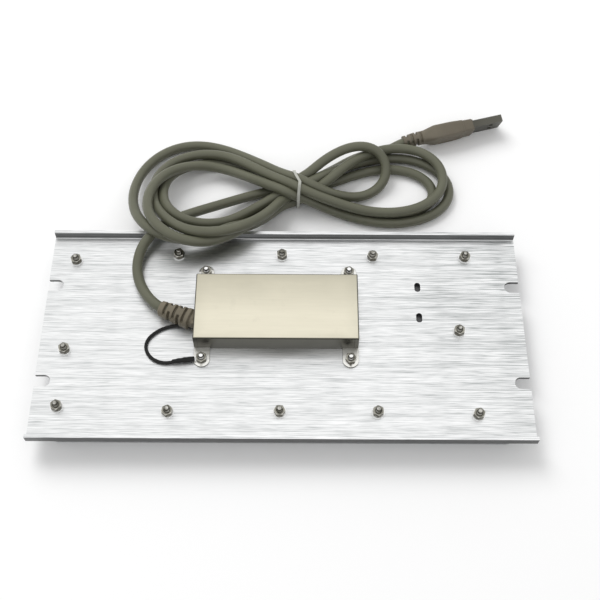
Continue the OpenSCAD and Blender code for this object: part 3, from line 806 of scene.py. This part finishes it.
TURNS = [0.2, 0.9, 0.5, 0.05, 0.7, 0.35, 0.8, 0.1, 0.6, 0.45, 0.25, 0.95]
nuts = mesh_piece("hex_nuts", *joined([nut_form(p, 12.5, 2.4, 5.5, 1.52, TURNS[i]) for i, p in enumerate(STUD_XY)]), M["nut"], angle=25)
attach(nuts, "chassis")
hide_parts("stud_nuts")
studs = mesh_piece("threaded_studs", *joined([stud_form(p, 3.5, 17.5, 11.0) for p in STUD_XY]), M["stud"], angle=30)
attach(studs, "chassis")
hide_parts("fascia_studs")
COVER_STUDS = [(-44.7, -17.1), (37.4, -17.1), (-44.7, 38.7), (37.4, 38.7)]
cnuts = mesh_piece("cover_hex_nuts", *joined([nut_form(p, 13.6, 2.4, 5.5, 1.52, TURNS[i + 3]) for i, p in enumerate(COVER_STUDS)]), M["nut"], angle=25)
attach(cnuts, "chassis")
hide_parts("cover_nuts")
cstuds = mesh_piece("cover_threaded_studs", *joined([stud_form(p, 12.0, 18.2, 13.0) for p in COVER_STUDS]), M["cstud"], angle=30)
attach(cstuds, "chassis")
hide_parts("cover_studs")


# ---------------------------------------------------------------- folded cover
def cover_form():
    """The cover as bent sheet: a pan with small bend radii, butted corners and four foot tabs."""
    cx, cy, w, d, z0, z1, t = -3.75, 10.75, 91.0, 41.5, 12.0, 24.0, 1.0
    x0, x1, y0, y1 = cx - w / 2, cx + w / 2, cy - d / 2, cy + d / 2
    rb = 0.7
    bm = bmesh.new()

    def ring(inset, z, r):
        out = []
        for px, py, a0 in ((x1, y1, 0), (x0, y1, 90), (x0, y0, 180), (x1, y0, 270)):
            sx, sy = (1 if px == x1 else -1), (1 if py == y1 else -1)
            for k in range(4):
                a = math.radians(a0 + 30 * k)
                out.append(bm.verts.new(((px - sx * (inset + r) + r * math.cos(a)) * MM, (py - sy * (inset + r) + r * math.sin(a)) * MM, z * MM)))
        return out

    levels = [(0.0, z0, 0.35), (0.0, z1 - rb, 0.35)]
    for k in range(1, 5):
        a = math.radians(22.5 * k)
        levels.append((rb * (1 - math.cos(a)), z1 - rb * (1 - math.sin(a)), 0.35))
    rings = [ring(*q) for q in levels]
    for a, b in zip(rings, rings[1:]):
        for k in range(16):
            bm.faces.new((a[k], a[(k + 1) % 16], b[(k + 1) % 16], b[k]))
    top = bm.faces.new(rings[-1])
    inner = [ring(t, z0, 0.1), ring(t, z1 - t, 0.1)]
    for k in range(16):
        k2 = (k + 1) % 16
        bm.faces.new((inner[0][k2], inner[0][k], inner[1][k], inner[1][k2]))
        bm.faces.new((rings[0][k2], rings[0][k], inner[0][k], inner[0][k2]))
    bm.faces.new(inner[1][::-1])
    # foot tabs with rounded ends and a hole
    for px, py in COVER_STUDS:
        s = 1 if py > 0 else -1
        edge = y1 if s > 0 else y0
        n = 24
        outline = [(px + 4.5 * math.cos(math.radians(a)), py + s * 4.5 * math.sin(math.radians(a))) for a in range(0, 181, 12)]
        outline = [(px + 4.5, edge - s * 0.6)] + outline + [(px - 4.5, edge - s * 0.6)]
        m = len(outline)
        hole = []
        for q in outline:
            a = math.atan2(q[1] - py, q[0] - px)
            hole.append((px + 1.7 * math.cos(a), py + 1.7 * math.sin(a)))
        lay = []
        for z, inset in ((12.0, 0.0), (12.82, 0.0), (13.0, 0.18)):
            lay.append([bm.verts.new(((x - math.copysign(min(inset, abs(x - px)), x - px)) * MM, (y if k in (0, m - 1) else y - s * (inset if abs(y - py) > 0.5 else 0)) * MM, z * MM)) for k, (x, y) in enumerate(outline)])
        hl = [[bm.verts.new((x * MM, y * MM, z * MM)) for x, y in hole] for z in (12.0, 13.0)]
        for k in range(m):
            k2 = (k + 1) % m
            bm.faces.new((lay[0][k], lay[0][k2], lay[1][k2], lay[1][k]))
            bm.faces.new((lay[1][k], lay[1][k2], lay[2][k2], lay[2][k]))
            bm.faces.new((lay[2][k], lay[2][k2], hl[1][k2], hl[1][k]))
            bm.faces.new((hl[1][k], hl[1][k2], hl[0][k2], hl[0][k]))
            bm.faces.new((hl[0][k], hl[0][k2], lay[0][k2], lay[0][k]))
    bmesh.ops.recalc_face_normals(bm, faces=bm.faces)
    me = bpy.data.meshes.new("cover_shell")
    bm.to_mesh(me)
    bm.free()
    me.shade_smooth()
    bm = bmesh.new()
    bm.from_mesh(me)
    for e in bm.edges:
        if len(e.link_faces) == 2 and e.calc_face_angle(0) > math.radians(40):
            e.smooth = False
    bm.to_mesh(me)
    bm.free()
    me.materials.append(M["cover"])
    o = bpy.data.objects.new("cover_shell", me)
    scene.collection.objects.link(o)
    return o


cover = cover_form()
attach(cover, "chassis")
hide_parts("controller_cover")

# seams where the folded walls butt together: two near the ends of the front wall, four near the corners of the short
# side walls
_parts = []
for _x in (-46.9, 39.4):
    _parts.append(box_form((_x - 0.12, -10.06, 12.05), (_x + 0.12, -9.9, 23.2), 0.05))
for _y in (-8.6, 30.1):
    for _x in (-49.31, 41.69):
        _parts.append(box_form((_x - 0.06, _y - 0.12, 12.05), (_x + 0.12, _y + 0.12, 23.2), 0.05))
seams = mesh_piece("cover_seams", *joined(_parts), M["seam"], smooth=False)
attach(seams, "chassis")

# ---------------------------------------------------------------- floor and light
floor_mesh = bpy.data.meshes.new("floor")
floor_mesh.from_pydata([(-4, -4, -0.0003), (4, -4, -0.0003), (4, 4, -0.0003), (-4, 4, -0.0003)], [], [(0, 1, 2, 3)])
floor = bpy.data.objects.new("floor", floor_mesh)
scene.collection.objects.link(floor)
_fl = Nodes("floor_white")
_fl.color((0.92, 0.92, 0.92))
_fl.set(rough=0.95, spec=0.0)
floor_mesh.materials.append(_fl.m)

world = bpy.data.worlds.new("studio")
scene.world = world
world.use_nodes = True
_wt = world.node_tree
_bg = _wt.nodes["Background"]
_bg.inputs[0].default_value = (1.0, 1.0, 1.0, 1)
_wc = _wt.nodes.new("ShaderNodeTexCoord")
_ws = _wt.nodes.new("ShaderNodeSeparateXYZ")
_wt.links.new(_wc.outputs["Generated"], _ws.inputs[0])
_wr = _wt.nodes.new("ShaderNodeMapRange")
_wr.interpolation_type = "SMOOTHSTEP"
_wr.inputs["From Min"].default_value = 0.05
_wr.inputs["From Max"].default_value = 0.62
_wr.inputs["To Min"].default_value = 0.42
_wr.inputs["To Max"].default_value = 1.10
_wt.links.new(_ws.outputs[2], _wr.inputs["Value"])
_lp = _wt.nodes.new("ShaderNodeLightPath")
_wm = _wt.nodes.new("ShaderNodeMix")
_wm.data_type = "FLOAT"
_wm.inputs[2].default_value = 0.76
_wt.links.new(_lp.outputs["Is Glossy Ray"], _wm.inputs[0])
_wt.links.new(_wr.outputs[0], _wm.inputs[3])
_wt.links.new(_wm.outputs[0], _bg.inputs[1])


def area(name, at, to, size, power, color=(1, 1, 1)):
    d = bpy.data.lights.new(name, "AREA")
    d.shape = "RECTANGLE"
    d.size, d.size_y = size
    d.energy = power
    d.color = color
    o = bpy.data.objects.new(name, d)
    scene.collection.objects.link(o)
    v = Vector(to) - Vector(at)
    o.matrix_world = Matrix.Translation(Vector(at)) @ v.to_track_quat("-Z", "Y").to_matrix().to_4x4()
    return o


area("key", (-0.72, 1.1, 1.5), (0.0, 0.05, 0.0), (1.15, 1.15), 21.0).visible_glossy = False
scene.view_settings.view_transform = "Standard"
scene.view_settings.look = "None"
